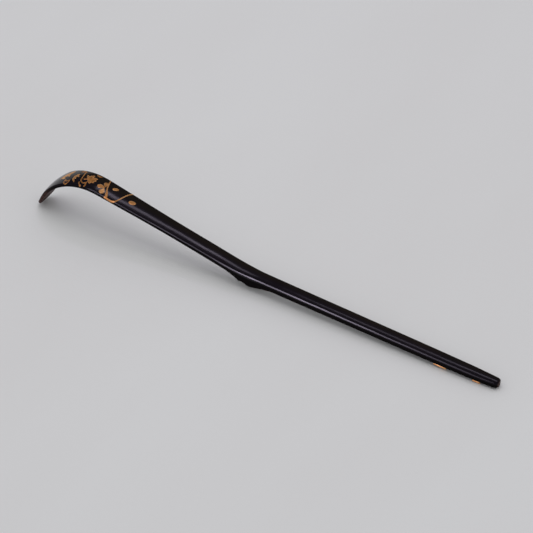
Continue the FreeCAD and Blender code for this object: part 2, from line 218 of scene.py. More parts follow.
def spine_at(place):
    """Spine point (x, z) and the back's tilt, at a distance from the tail, in millimetres."""
    place = np.asarray(place, float)
    kink = np.clip(place - KINK_START, 0, KINK_RUN) / KINK_RADIUS
    bend = np.clip(place - BEND_START, 0, BEND_RUN) / BEND_RADIUS
    tilt = HANDLE_TILT + kink - bend
    handle = np.clip(place, None, HANDLE_RUN)
    arm = np.clip(place - ARM_START, 0, ARM_RUN)
    tip = np.clip(place - TIP_START, 0, None)
    end_tilt = ARM_TILT - BEND_TURN
    run = handle * math.cos(HANDLE_TILT)
    run = run + KINK_RADIUS * (np.sin(HANDLE_TILT + kink) - math.sin(HANDLE_TILT))
    run = run + arm * math.cos(ARM_TILT)
    run = run + BEND_RADIUS * (math.sin(ARM_TILT) - np.sin(ARM_TILT - bend))
    run = run + tip * math.cos(end_tilt)
    rise = handle * math.sin(HANDLE_TILT)
    rise = rise + KINK_RADIUS * (math.cos(HANDLE_TILT) - np.cos(HANDLE_TILT + kink))
    rise = rise + arm * math.sin(ARM_TILT)
    rise = rise + BEND_RADIUS * (np.cos(ARM_TILT - bend) - math.cos(ARM_TILT))
    rise = rise + tip * math.sin(end_tilt)
    return TAIL_REACH - run, TAIL_HEIGHT + rise, tilt


def upper_bevel_at(place):
    bevel = np.minimum(UPPER_BEVEL, UPPER_LIMIT * thickness_at(place))
    beyond_joint = np.clip((place - ARM_START) / ARM_BEVEL_FADE, 0, 1)
    return bevel * (1 - (1 - ARM_BEVEL_SHARE) * beyond_joint)


def lower_bevel_at(place):
    bevel = np.minimum(LOWER_BEVEL, LOWER_LIMIT * thickness_at(place))
    at_joint = np.clip(joint_at(place) / JOINT_FULL_RISE, 0, 1)
    near_tip = np.clip((place - (SCOOP_LENGTH - TIP_LOWER_START)) / TIP_LOWER_FADE, 0, 1)
    bevel = bevel * (1 - (1 - JOINT_LOWER_SHARE) * at_joint)
    return bevel * (1 - (1 - TIP_LOWER_SHARE) * near_tip)


def half_width_at(place):
    """Half the width of the outline seen square on, with its round tip and rubbed tail corners."""
    place = np.asarray(place, float)
    side = width_at(place) / 2
    left = SCOOP_LENGTH - place
    arc_end = TIP_RADIUS * (1 - math.sin(TIP_FLARE))
    arc = np.sqrt(np.clip(TIP_RADIUS**2 - (TIP_RADIUS - left) ** 2, 0, None))
    flank = TIP_RADIUS * math.cos(TIP_FLARE) + (left - arc_end) * math.tan(TIP_FLARE)
    side = np.minimum(side, np.where(left < arc_end, arc, flank))
    corner = np.clip(TAIL_CORNER - place, 0, None)
    return side - TAIL_CORNER + np.sqrt(TAIL_CORNER**2 - corner**2)


def edge_distance(place, across):
    """How far a point of the back is from the nearest edge of the outline."""
    across = np.abs(across)
    side = width_at(place) / 2 - across
    left = SCOOP_LENGTH - place
    inside_arc = np.arctan2(TIP_RADIUS - left, across) > TIP_FLARE
    arc = TIP_RADIUS - np.hypot(TIP_RADIUS - left, across)
    arc_end = TIP_RADIUS * (1 - math.sin(TIP_FLARE))
    flank = TIP_RADIUS * math.cos(TIP_FLARE) + (left - arc_end) * math.tan(TIP_FLARE) - across
    tip = np.where(inside_arc, arc, flank * math.cos(TIP_FLARE))
    corner_across = across - (width_at(place) / 2 - TAIL_CORNER)
    in_corner = (corner_across > 0) & (place < TAIL_CORNER)
    round_corner = TAIL_CORNER - np.hypot(TAIL_CORNER - place, corner_across)
    tail = np.where(in_corner, round_corner, place)
    return np.clip(np.minimum(np.minimum(side, tip), tail), 0, None)


def rubbed_bevel(inward, bevel):
    """Extra depth of a 45 degree bevel whose two edges are rubbed round, by distance inward."""
    soft = EDGE_SOFTNESS * bevel / UPPER_BEVEL
    over = bevel - inward
    ramp = np.where(over > soft, over, np.clip(over + soft, 0, None) ** 2 / (4 * soft))
    lip = LIP_REACH * soft
    last = 1 - np.clip(inward / lip, 0, 1)
    return ramp + LIP_DROP * lip * (1 - np.sqrt(1 - last**2))


def waviness(place, across):
    """The slight unevenness of hand-shaped bamboo under hand-laid lacquer."""
    return sum(
        height * np.sin(along * place + aside * across + phase)
        for height, along, aside, phase in WAVES
    )


def back_depth(place, across):
    """How far the back lies under the line of the spine."""
    upper = upper_bevel_at(place)
    flat_half = width_at(place) / 2 - upper
    share = np.clip(np.abs(across) / flat_half, 0, 1)
    crown = crown_at(place) * width_at(place) * share**2
    inward = edge_distance(place, across)
    hand = (WAVE_DEPTH + waviness(place, across)) * np.clip(inward / upper, 0, 1)
    near_tip = np.clip((place - (SCOOP_LENGTH - THINNING_RUN)) / THINNING_RUN, 0, 1)
    return crown + rubbed_bevel(inward, upper) + hand + TIP_THINNING * near_tip**2


def face_depth(place, across):
    """How far the face lies under the line of the spine."""
    lower = lower_bevel_at(place)
    inward = edge_distance(place, across)
    flat_half = np.clip(half_width_at(place) - lower, LEAST_FACE, None)
    groove = FACE_GROOVE * np.clip(1 - (across / flat_half) ** 2, 0, None)
    return thickness_at(place) + joint_at(place) - groove - rubbed_bevel(inward, lower)


def on_scoop(place, across, depth):
    """A point of the scoop, in metres, from its place, its offset across and its depth."""
    x, z, tilt = spine_at(place)
    return np.stack([x - depth * np.sin(tilt), across + 0 * x, z - depth * np.cos(tilt)], -1) * MM


# ---------------------------------------------------------------------------------- mesh helpers
WELD = 0.002 * MM


def new_piece(name, vertices, faces, material):
    mesh = bpy.data.meshes.new(name)
    mesh.from_pydata([tuple(vertex) for vertex in vertices], [], faces)
    mesh.materials.append(material)
    mesh.polygons.foreach_set("use_smooth", [True] * len(mesh.polygons))
    mesh.validate()
    piece = bpy.data.objects.new(name, mesh)
    bpy.context.scene.collection.objects.link(piece)
    return piece


def grid_faces(rows, columns, closed=False):
    """Quads between neighbouring rows of a grid of vertices; closed joins the last column too."""
    faces = []
    for row in range(rows - 1):
        for column in range(columns if closed else columns - 1):
            after = (column + 1) % columns
            one = row * columns
            two = one + columns
            faces.append((one + column, one + after, two + after, two + column))
    return faces


def weld(piece):
    """Join the vertices that meet at a point, and turn every face outward."""
    mesh = bmesh.new()
    mesh.from_mesh(piece.data)
    bmesh.ops.remove_doubles(mesh, verts=mesh.verts, dist=WELD)
    bmesh.ops.recalc_face_normals(mesh, faces=mesh.faces)
    mesh.to_mesh(piece.data)
    mesh.free()


def paint(piece, name, values):
    """Give every vertex a value, under a name that a material can read."""
    attribute = piece.data.attributes.new(name, "FLOAT", "POINT")
    attribute.data.foreach_set("value", np.asarray(values, np.float32))


# ------------------------------------------------------------------------------------- materials
FULL_POLISH = 0.3  # specular level where the polish is 1
SHEEN_TINT_CHANGE = (1.2 * MM, -0.8 * MM)  # across the back, from the browner painted reflection to the purple one
GOLD_DULL = (0.38, 0.138, 0.028)
GOLD_BRIGHT = (0.84, 0.37, 0.095)
# the pale gold of the painted highlights
GOLD_PALE = (1.0, 0.60, 0.28)


def new_material(name):
    material = bpy.data.materials.new(name)
    material.use_nodes = True
    nodes = material.node_tree.nodes
    return material, nodes, material.node_tree.links, nodes["Principled BSDF"]


def object_noise(nodes, links, scale, detail=4.0, stretch=(1, 1, 1)):
    """Noise in the object's own space, with a number of cells to the metre."""
    place = nodes.new("ShaderNodeTexCoord")
    mapping = nodes.new("ShaderNodeMapping")
    mapping.inputs["Scale"].default_value = stretch
    noise = nodes.new("ShaderNodeTexNoise")
    noise.inputs["Scale"].default_value = scale
    noise.inputs["Detail"].default_value = detail
    links.new(place.outputs["Object"], mapping.inputs["Vector"])
    links.new(mapping.outputs["Vector"], noise.inputs["Vector"])
    return noise.outputs["Fac"]


def colour_ramp(nodes, links, value, stops):
    ramp = nodes.new("ShaderNodeValToRGB")
    elements = ramp.color_ramp.elements
    while len(elements) < len(stops):
        elements.new(0.5)
    for element, (position, colour) in zip(elements, stops):
        element.position = position
        element.color = (*colour, 1)
    links.new(value, ramp.inputs["Fac"])
    return ramp.outputs["Color"]


def value_range(nodes, links, value, low, high, start=0.3, end=0.7):
    """Spreads start to end over low to high."""
    spread = nodes.new("ShaderNodeMapRange")
    spread.inputs["From Min"].default_value = start
    spread.inputs["From Max"].default_value = end
    spread.inputs["To Min"].default_value = low
    spread.inputs["To Max"].default_value = high
    links.new(value, spread.inputs["Value"])
    return spread.outputs["Result"]


def add_bump(nodes, links, shader, height, distance, strength=1.0):
    bump = nodes.new("ShaderNodeBump")
    bump.inputs["Strength"].default_value = strength
    bump.inputs["Distance"].default_value = distance
    links.new(height, bump.inputs["Height"])
    links.new(bump.outputs["Normal"], shader.inputs["Normal"])


def attribute_value(nodes, name):
    attribute = nodes.new("ShaderNodeAttribute")
    attribute.attribute_name = name
    return attribute.outputs["Fac"]


def mixed_colour(nodes, links, factor, one, other):
    blend = nodes.new("ShaderNodeMix")
    blend.data_type = "RGBA"
    links.new(factor, blend.inputs["Factor"])
    links.new(one, blend.inputs["A"])
    links.new(other, blend.inputs["B"])
    return blend.outputs["Result"]


def scaled(nodes, links, value, factor, added=None):
    """value times a number, plus another value."""
    sum_node = nodes.new("ShaderNodeMath")
    sum_node.operation = "MULTIPLY_ADD"
    links.new(value, sum_node.inputs[0])
    sum_node.inputs[1].default_value = factor
    sum_node.inputs[2].default_value = 0.0
    if added is not None:
        links.new(added, sum_node.inputs[2])
    return sum_node.outputs["Value"]


def lacquer_material():
    """Black lacquer: painted reflection makes the back browner on its far half and purple on its near
    one, painted shade makes the sides blacker, and wear rubs it red-brown.
    """
    material, nodes, links, shader = new_material("black_lacquer")
    shader.inputs["IOR"].default_value = 1.5
    polish = attribute_value(nodes, "polish")
    wear = attribute_value(nodes, "wear")
    links.new(scaled(nodes, links, polish, FULL_POLISH), shader.inputs["Specular IOR Level"])
    cloud = object_noise(nodes, links, 160, 3.0, (0.35, 1, 1))
    # Painted reflection: the back's black is painted lighter than bare lacquer, browner on the far half
    # and purple on the near half, standing in for the room's light mirrored in it.
    brown_sheen_black = colour_ramp(
        nodes, links, cloud, [(0.3, (0.0115, 0.0095, 0.0084)), (0.7, (0.0165, 0.0122, 0.0098))]
    )
    purple_sheen_black = colour_ramp(
        nodes, links, cloud, [(0.3, (0.0090, 0.0074, 0.0108)), (0.7, (0.0122, 0.0092, 0.0132))]
    )
    place = nodes.new("ShaderNodeTexCoord")
    split = nodes.new("ShaderNodeSeparateXYZ")
    links.new(place.outputs["Object"], split.inputs["Vector"])
    purple_sheen_share = value_range(nodes, links, split.outputs["Y"], 0.0, 1.0, *SHEEN_TINT_CHANGE)
    back = mixed_colour(nodes, links, purple_sheen_share, brown_sheen_black, purple_sheen_black)
    # Painted shade: the sides and face, where the polish is lowest, are painted a deeper black than the
    # back.
    side = colour_ramp(
        nodes, links, cloud, [(0.3, (0.0040, 0.0034, 0.0040)), (0.7, (0.0062, 0.0050, 0.0056))]
    )
    top = value_range(nodes, links, polish, 0.0, 1.0, SIDE_POLISH_AND_SHADE, SIDE_POLISH_AND_SHADE + 0.1)
    black = mixed_colour(nodes, links, top, side, back)
    worn = object_noise(nodes, links, 1400, 5.0, (0.6, 1, 1))
    brown = colour_ramp(
        nodes, links, worn, [(0.35, (0.034, 0.016, 0.014)), (0.65, (0.105, 0.058, 0.052))]
    )
    colour = mixed_colour(nodes, links, wear, black, brown)
    links.new(colour, shader.inputs["Base Color"])
    rubbing = object_noise(nodes, links, 900, 6.0, (0.05, 1, 1))
    gloss = value_range(nodes, links, rubbing, 0.115, 0.175)
    links.new(scaled(nodes, links, wear, 0.25, gloss), shader.inputs["Roughness"])
    add_bump(nodes, links, shader, rubbing, 0.004 * MM)
    return material


def gold_material():
    """Gold powder laid in lacquer: fine grains, thinner and browner where the brush ran dry, and painted
    paler towards each stroke's rim as a painted highlight.
    """
    material, nodes, links, shader = new_material("gold_powder")
    shader.inputs["Metallic"].default_value = 0.62
    drift = object_noise(nodes, links, 900, 3.0)
    grain = object_noise(nodes, links, 9000, 2.0)
    mixed = nodes.new("ShaderNodeMix")
    mixed.data_type = "FLOAT"
    mixed.inputs["Factor"].default_value = 0.4
    links.new(drift, mixed.inputs["A"])
    links.new(grain, mixed.inputs["B"])
    inner = colour_ramp(
        nodes, links, mixed.outputs["Result"], [(0.36, GOLD_DULL), (0.62, GOLD_BRIGHT)]
    )
    outer = colour_ramp(
        nodes, links, mixed.outputs["Result"], [(0.34, GOLD_BRIGHT), (0.6, GOLD_PALE)]
    )
    # painted highlight: the rims are painted in the paler gold
    colour = mixed_colour(nodes, links, attribute_value(nodes, "rim"), inner, outer)
    links.new(colour, shader.inputs["Base Color"])
    links.new(value_range(nodes, links, grain, 0.34, 0.5), shader.inputs["Roughness"])
    add_bump(nodes, links, shader, grain, 0.02 * MM)
    return material


def bamboo_material():
    """Smoked bamboo: pale fibres with darker bundles along the culm."""
    material, nodes, links, shader = new_material("smoked_bamboo")
    fibres = object_noise(nodes, links, 2600, 5.0, (0.02, 1, 1))
    colour = colour_ramp(
        nodes,
        links,
        fibres,
        [(0.35, (0.20, 0.11, 0.05)), (0.55, (0.42, 0.27, 0.13)), (0.75, (0.50, 0.35, 0.19))],
    )
    links.new(colour, shader.inputs["Base Color"])
    links.new(value_range(nodes, links, fibres, 0.45, 0.65), shader.inputs["Roughness"])
    add_bump(nodes, links, shader, fibres, 0.05 * MM)
    return material


def ground_material():
    """The ground under the lacquer: clay and raw lacquer, matt and red-brown."""
    material, nodes, links, shader = new_material("lacquer_ground")
    clay = object_noise(nodes, links, 1500, 6.0)
    colour = colour_ramp(
        nodes, links, clay, [(0.3, (0.035, 0.016, 0.010)), (0.7, (0.085, 0.038, 0.024))]
    )
    links.new(colour, shader.inputs["Base Color"])
    links.new(value_range(nodes, links, clay, 0.6, 0.85), shader.inputs["Roughness"])
    add_bump(nodes, links, shader, clay, 0.02 * MM)
    return material


def table_material():
    """A pale grey table cloth with a faint weave."""
    material, nodes, links, shader = new_material("pale_cloth")
    shader.inputs["Roughness"].default_value = 0.9
    shader.inputs["Specular IOR Level"].default_value = 0.1
    drift = object_noise(nodes, links, 14, 3.0, (1.0, 0.35, 1))
    tone = colour_ramp(
        nodes, links, drift, [(0.3, (0.790, 0.786, 0.790)), (0.7, (0.812, 0.815, 0.822))]
    )
    links.new(tone, shader.inputs["Base Color"])
    warp = object_noise(nodes, links, 1800, 2.0, (1.0, 0.08, 1))
    weft = object_noise(nodes, links, 1800, 2.0, (0.08, 1.0, 1))
    weave = nodes.new("ShaderNodeMath")
    weave.operation = "ADD"
    links.new(warp, weave.inputs[0])
    links.new(weft, weave.inputs[1])
    add_bump(nodes, links, shader, weave.outputs["Value"], 0.05 * MM, 0.6)
    return material


# ----------------------------------------------------------------------------- the lacquered body
CROWN_COLUMNS = 17
WALL_POINTS = 4
FINE_TURNS = 19  # rings round the tip and round the tail's corners
JOINT_RUN = (80.0, 99.0)  # where the rings lie close for the joint
WEAR_RUN = 14.0  # the sides and face of the blade are worn this far from the tip
WEAR_FADE = 6.0  # and the wear fades out over this run
TIP_RUB = 0.6  # the back is rubbed this far from the tip
TAIL_RUB = 0.3  # and this far from the tail's end
TAIL_RUB_SHARE = 0.8  # how worn the tail is there, against 1 at the tip
# Shares of a bevel, inward from the edge, where its columns lie; over 1 is on the flat beyond it.
BEVEL_COLUMNS = [0.0, 0.02, 0.06, 0.12, 0.2, 0.3, 0.45, 0.6, 0.75, 0.85, 0.95, 1.05, 1.2, 1.35]


def column_shares(place, bevel):
    """Offsets across, as shares of half the width, close together where the bevels curve."""
    half = width_at(place) / 2
    near_side = [1 - inward * bevel / half for inward in BEVEL_COLUMNS]
    crown = np.linspace(1, -1, CROWN_COLUMNS + 2)[1:-1] * near_side[-1]
    return np.concatenate([near_side, crown, [-share for share in reversed(near_side)]])


def ring_places():
    """Places of the rings: close at the round tip and tail, at the joint and along the arch."""
    turns = np.linspace(0, math.pi / 2, FINE_TURNS)
    tail = TAIL_CORNER * (1 - np.cos(turns))
    tip = SCOOP_LENGTH - TIP_RADIUS * (1 - np.cos(turns))
    joint_start, joint_end = JOINT_RUN
    runs = [
        np.arange(tail[-1] + 0.1, joint_start, 0.5),
        np.arange(joint_start, joint_end, 0.15),
        np.arange(joint_end, BEND_START, 0.5),
        np.arange(BEND_START, tip[-1] - 0.1, 0.3),
    ]
    return np.concatenate([tail] + runs + [tip[::-1]])


def scoop_ring(place):
    """The outline of the scoop at one place, from the far edge of the back round to it again.

    Beside the points it gives the polish at each, and the wear.
    """
    upper, lower = upper_bevel_at(place), lower_bevel_at(place)
    half = half_width_at(place)
    back_across = half * column_shares(place, upper)
    face_across = half * column_shares(place, lower)[::-1]
    count = len(back_across)
    back = back_depth(np.full(count, place), back_across)
    face = face_depth(np.full(count, place), face_across)
    wall = np.linspace(0, 1, WALL_POINTS + 2)[1:-1]
    near_wall = back[-1] + (face[0] - back[-1]) * wall
    far_wall = face[-1] + (back[0] - face[-1]) * wall
    walls = np.full(WALL_POINTS, half)
    across = np.concatenate([back_across, -walls, face_across, walls])
    depth = np.concatenate([back, near_wall, face, far_wall])
    at_crown = np.clip((half - np.abs(back_across)) / upper - 1, 0, 1)
    polish = crown_polish_at(place) * at_crown + edge_polish_at(place) * (1 - at_crown)
    polish = np.concatenate([polish, np.full(count + 2 * WALL_POINTS, SIDE_POLISH_AND_SHADE)])
    from_tip = SCOOP_LENGTH - place
    side_wear = np.clip((WEAR_RUN - from_tip) / WEAR_FADE, 0, 1)
    tip_rub = np.clip(1 - from_tip / TIP_RUB, 0, 1)
    tail_rub = TAIL_RUB_SHARE * np.clip(1 - place / TAIL_RUB, 0, 1)
    back_wear = max(tip_rub, tail_rub)
    wear = np.full(len(across), max(side_wear, back_wear))
    wear[:count] = back_wear
    return on_scoop(place, across, depth), polish, wear


def make_lacquer(material):
    """The lacquered scoop: rings from the tail to the tip, and flat ends."""
    rings, polish, wear = zip(*(scoop_ring(place) for place in ring_places()))
    size = len(rings[0])
    columns = size // 2 - WALL_POINTS
    faces = grid_faces(len(rings), size, closed=True)
    for column in range(columns - 1):  # the end of the handle
        below = columns + WALL_POINTS + columns - 1 - column
        faces.append((column, column + 1, below - 1, below))
    near = list(range(columns - 1, columns + WALL_POINTS + 1))
    far = [0] + list(range(size - 1, 2 * columns + WALL_POINTS - 2, -1))
    faces.append(tuple(near))
    faces.append(tuple(reversed(far)))
    piece = new_piece("lacquered_scoop", np.concatenate(rings), faces, material)
    paint(piece, "polish", np.concatenate(polish))
    paint(piece, "wear", np.concatenate(wear))
    weld(piece)
    return piece


# -------------------------------------------------------------------------------- the gold drawing
GOLD_RELIEF = 0.07  # how far the gold stands out
EDGE_RELIEF = 0.4  # how far it stands out on the lower near edge
GOLD_SINK = 0.05  # how far each stroke goes into the lacquer
SPRAY_START = 0.36  # the spray's middle lies this far past the arch's start
SURFACE_STEP = 0.02  # the surface's slope is measured over this step
SAMPLES_PER_SPAN = 24
STROKE_COLUMNS = 9
STROKE_STEP = 0.12  # spacing of a stroke's rows
FEWEST_ROWS = 12
LEAST_REACH = 0.02
TOOTH_DEPTH = 0.16  # how deep a leaf's teeth are cut, as a share of its breadth
VEIN_DEPTH = 0.03
VEIN_WIDTH = 0.16  # as a share of half the breadth
LEAF_TEETH = 3
STEADY_GLEAM = 0.3  # the rims of plain lines get this much painted highlight, against a petal's 1


def plan_place(plan):
    """Place along the spine of a point that lies plan millimetres past the spray's middle."""
    plan = np.asarray(plan, float) + SPRAY_START
    on_arm = BEND_START + plan / math.cos(ARM_TILT)
    sine = np.clip(plan / BEND_RADIUS - math.sin(ARM_TILT), -1, 1)
    on_arch = BEND_START + BEND_RADIUS * (np.arcsin(sine) + ARM_TILT)
    return np.where(plan < 0, on_arm, on_arch)


def through_points(points, count):
    """A smooth path through a few points (Catmull-Rom), as count points evenly shared out."""
    points = np.array(points, float)
    ends = np.vstack([2 * points[0] - points[1], points, 2 * points[-1] - points[-2]])
    share = np.linspace(0, 1, SAMPLES_PER_SPAN, endpoint=False)[:, None]
    path = []
    for index in range(len(points) - 1):
        before, start, end, after = ends[index : index + 4]
        slope = (end - before) * share
        curve = (2 * before - 5 * start + 4 * end - after) * share**2
        twist = (3 * start - before - 3 * end + after) * share**3
        path.append(0.5 * (2 * start + slope + curve + twist))
    path = np.vstack(path + [points[-1:]])
    run = np.concatenate([[0], np.cumsum(np.linalg.norm(np.diff(path, axis=0), axis=1))])
    even = np.linspace(0, run[-1], count)
    return np.stack([np.interp(even, run, path[:, axis]) for axis in range(2)], 1)


def back_point(place, across, lift):
    """A point that stands lift millimetres out of the back, square to its surface."""
    base = on_scoop(place, across, back_depth(place, across))
    place_ahead, across_aside = place + SURFACE_STEP, across + SURFACE_STEP
    ahead = on_scoop(place_ahead, across, back_depth(place_ahead, across))
    aside = on_scoop(place, across_aside, back_depth(place, across_aside))
    normal = np.cross(aside - base, ahead - base)
    normal = normal / np.linalg.norm(normal, axis=-1, keepdims=True)
    normal = np.where(normal[..., 2:3] < 0, -normal, normal)
    return base + normal * np.asarray(lift)[..., None] * MM


def stroke_mesh(points, breadth, shape, relief, surface):
    """One brush stroke as a closed, domed strip along a path on the scoop.

    shape turns the share of the way along (0 to 1) into a share of the breadth.
    """
    length = sum(math.dist(one, two) for one, two in zip(points, points[1:]))
    count = max(FEWEST_ROWS, int(length / STROKE_STEP))
    path = through_points(points, count)
    along = np.gradient(path, axis=0)
    along = along / np.linalg.norm(along, axis=1, keepdims=True)
    sideways = np.stack([-along[:, 1], along[:, 0]], 1)
    share = np.linspace(0, 1, count)
    reach = breadth / 2 * shape(share)
    if shape is lobe:
        reach = reach * (1 - TOOTH_DEPTH * (0.5 + 0.5 * np.cos(2 * math.pi * LEAF_TEETH * share)))
    reach = np.maximum(reach, LEAST_REACH)
    columns = np.linspace(-1, 1, STROKE_COLUMNS)
    spread = path[:, None, :] + sideways[:, None, :] * reach[:, None, None] * columns[None, :, None]
    dome = np.sqrt(np.clip(1 - columns**2, 0, 1))[None, :] ** 0.8
    height = relief * dome * np.minimum(1, reach / (0.25 * breadth))[:, None] ** 0.5
    if shape in (petal, lobe):
        height = height - VEIN_DEPTH * np.exp(-((columns[None, :] / VEIN_WIDTH) ** 2))
    top = surface(spread[..., 0], spread[..., 1], height)
    bottom = surface(spread[..., 0], spread[..., 1], np.full(height.shape, -GOLD_SINK))
    rings = np.concatenate([top, bottom[:, ::-1]], 1)
    # painted highlight: the gold is painted paler towards each stroke's edges
    rims = np.tile(columns**2, (count, 2))
    size = rings.shape[1]
    faces = grid_faces(count, size, closed=True)
    for start in (0, (count - 1) * size):
        for column in range(STROKE_COLUMNS - 1):
            one, two = start + column, start + column + 1
            faces.append((one, two, start + size - 2 - column, start + size - 1 - column))
    return rings.reshape(-1, 3), faces, rims.reshape(-1)


def steady(share):
    """A drawn line of even breadth with round ends."""
    return np.clip(share / 0.06, 0, 1) ** 0.5 * np.clip((1 - share) / 0.06, 0, 1) ** 0.5


def bud(share):
    """An oval."""
    return np.sqrt(np.clip(4 * share * (1 - share), 0, 1))


def petal(share):
    """Narrow at its heart, and full and round at its end."""
    return np.sin(math.pi * np.clip(share, 0, 1) ** 1.6) ** 0.6 * np.clip(share / 0.15, 0.25, 1)


def lobe(share):
    """A leaf's lobe: full in its middle and pointed at its end."""
    return np.clip(np.sin(math.pi * (0.12 + 0.88 * share)), 0, 1) ** 0.75


# Each motif of the spray, stroke by stroke: the path, in millimetres from the spray's middle towards
# the tip and towards the far side, seen from above; the breadth; and the kind of stroke.
SPRAY = {
    "gold_lower_bud": [
        ([(-13.1, 0.0), (-11.9, -0.35), (-10.7, -0.6)], 1.7, bud),
    ],
    "gold_upper_bud": [
        ([(-5.35, 1.65), (-4.4, 1.1), (-3.5, 0.6)], 1.35, bud),
    ],
    "gold_lower_vine": [
        ([(-9.8, 3.6), (-9.1, 2.4), (-8.6, 0.9), (-8.2, -0.7), (-7.7, -2.3), (-7.2, -3.2)], 0.5, steady),
        ([(-7.6, -2.5), (-7.2, -3.3), (-6.4, -3.8), (-5.6, -3.85)], 0.6, steady),
        ([(-6.6, -3.8), (-5.1, -3.9), (-3.7, -3.8), (-3.2, -3.6)], 0.55, steady),
    ],
    "gold_upper_vine": [
        ([(-4.1, -3.6), (-3.5, -2.9), (-2.8, -1.7), (-2.1, -0.3), (-1.5, 1.2), (-1.2, 2.0)], 0.5, steady),
        ([(-4.2, -3.7), (-3.5, -2.9), (-2.9, -1.5)], 0.95, bud),
        ([(-1.7, 0.9), (-1.2, 2.2), (-0.8, 3.6)], 0.45, steady),
    ],
    "gold_blossom": [
        ([(-1.5, -0.7), (-0.2, -0.85), (1.2, -1.4)], 1.7, petal),
        ([(-1.3, -0.8), (-1.4, -2.1), (-1.5, -3.5)], 1.9, petal),
        ([(-1.3, -0.5), (-0.9, 0.6), (-0.5, 1.8)], 1.5, petal),
    ],
    "gold_leaf": [
        ([(7.0, -0.9), (5.9, -0.5), (4.8, -0.1)], 0.6, steady),
        ([(6.1, 0.1), (4.4, 0.4), (2.6, 1.2)], 2.1, lobe),
        ([(5.4, 0.3), (6.3, 0.8), (7.0, 1.6)], 1.0, lobe),
        ([(5.2, 0.2), (5.2, 1.2), (4.6, 2.3)], 1.5, lobe),
        ([(5.6, 0.0), (3.9, -0.1), (2.4, -0.1)], 1.7, lobe),
        ([(5.4, -0.1), (4.1, -0.6), (2.8, -1.2)], 1.5, lobe),
        ([(5.4, -0.1), (4.5, -1.1), (3.7, -2.1)], 1.4, lobe),
    ],
    "gold_edge_leaf": [
        ([(2.2, 3.4), (3.3, 2.9), (4.4, 3.3)], 0.7, bud),
    ],
    "gold_tendril": [
        ([(8.8, 2.9), (8.4, 1.6), (8.0, 0.1), (7.6, -1.4), (7.0, -2.3), (5.9, -2.8)], 0.4, steady),
        ([(6.3, -2.8), (5.4, -2.4), (4.9, -1.6)], 0.4, steady),
        ([(5.2, -2.1), (4.8, -3.1), (4.8, -4.0)], 0.55, steady),
        ([(8.4, 2.9), (9.4, 3.3), (10.6, 2.8)], 0.6, steady),
    ],
    "gold_curl": [
        ([(7.6, -2.5), (7.1, -3.5), (6.3, -4.1)], 0.4, steady),
        ([(6.8, -3.7), (6.4, -4.0), (6.0, -4.15)], 0.55, bud),
    ],
    "gold_small_leaf": [
        ([(10.1, 1.3), (10.6, -0.2), (10.9, -1.9)], 1.3, lobe),
        ([(10.7, 0.4), (9.9, 0.0), (9.2, -0.4)], 0.8, lobe),
        ([(11.0, -0.9), (10.3, -1.3), (9.7, -1.4)], 0.7, lobe),
        ([(11.0, -1.6), (10.1, -2.4), (9.3, -3.4)], 0.65, lobe),
    ],
    "gold_loop": [
        (
            [
                (11.6, -2.3), (11.5, -3.3), (11.9, -4.1), (12.6, -4.25),
                (13.3, -3.8), (13.5, -3.0), (13.4, -2.1),
            ],
            0.36,
            steady,
        ),
        ([(13.5, -2.5), (12.6, -2.9), (11.6, -2.6)], 0.4, steady),
    ],
    "gold_arch_leaf": [
        ([(13.5, 3.2), (14.9, 0.7), (16.4, -1.5)], 2.3, lobe),
        ([(14.9, 1.2), (13.9, 0.4), (13.2, -0.4)], 1.2, lobe),
        ([(15.9, -0.5), (15.0, -1.2), (14.2, -1.6)], 1.1, lobe),
    ],
}


def spray_points(path):
    """Place and offset across of each point of a path that starts from the spray's middle."""
    return [(float(plan_place(plan)), across) for plan, across in path]


def edge_point(place, around, lift):
    """A point that stands lift millimetres out of the lower near edge.

    around runs round the edge in millimetres, from the middle of its bevel towards the face.
    """
    bevel = lower_bevel_at(place)
    angle = math.pi / 4 + around / bevel
    reach = bevel / (np.cos(angle) + np.sin(angle)) + lift
    across = -(half_width_at(place) - bevel) - reach * np.cos(angle)
    return on_scoop(place, across, thickness_at(place) - bevel + reach * np.sin(angle))


# The marks on the lower near edge: place of each along the spine, and its strokes, with paths in
# millimetres towards the tail and round the edge.
EDGE_MARKS = {
    "gold_edge_spray": (
        19.6,
        [
            ([(-2.2, -0.05), (-1.1, 0.05), (0.2, 0.0), (1.0, 0.05)], 0.34, steady),
            ([(0.2, 0.0), (1.3, 0.12), (2.3, 0.05)], 0.9, bud),
        ],
    ),
    "gold_edge_bud": (
        7.0,
        [
            ([(-1.3, 0.0), (-0.4, 0.05), (0.4, 0.0)], 0.26, steady),
            ([(-0.1, 0.0), (0.7, 0.1), (1.4, 0.05)], 0.75, bud),
        ],
    ),
}


def edge_points(start, path):
    """Place and distance round the edge of each point of a mark's path."""
    return [(start - along, around) for along, around in path]


# Painted highlight: how pale each motif's gold is painted, stroke by stroke, standing in for the lamps
# mirrored in the gold; motifs that aren't here are as laid.
PAINTED_GLEAM = {
    "gold_lower_bud": [0.3],
    "gold_upper_bud": [0.15],
    "gold_lower_vine": [0.85, 0.35, 0.35],
    "gold_upper_vine": [0.4, 0.5, 0.2],
    "gold_blossom": [0.1, 1.0, 0.15],
    "gold_small_leaf": [0.2, 0.2, 0.2, 0.2],
    "gold_arch_leaf": [0.8, 0.8, 0.8],
    "gold_edge_spray": [0.5, 0.8],
    "gold_edge_bud": [0.5, 0.8],
}


def show_motif(node, motif):
    """Hang a motif on the scoop in place of its CAD node."""
    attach(motif, "root")
    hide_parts(node)


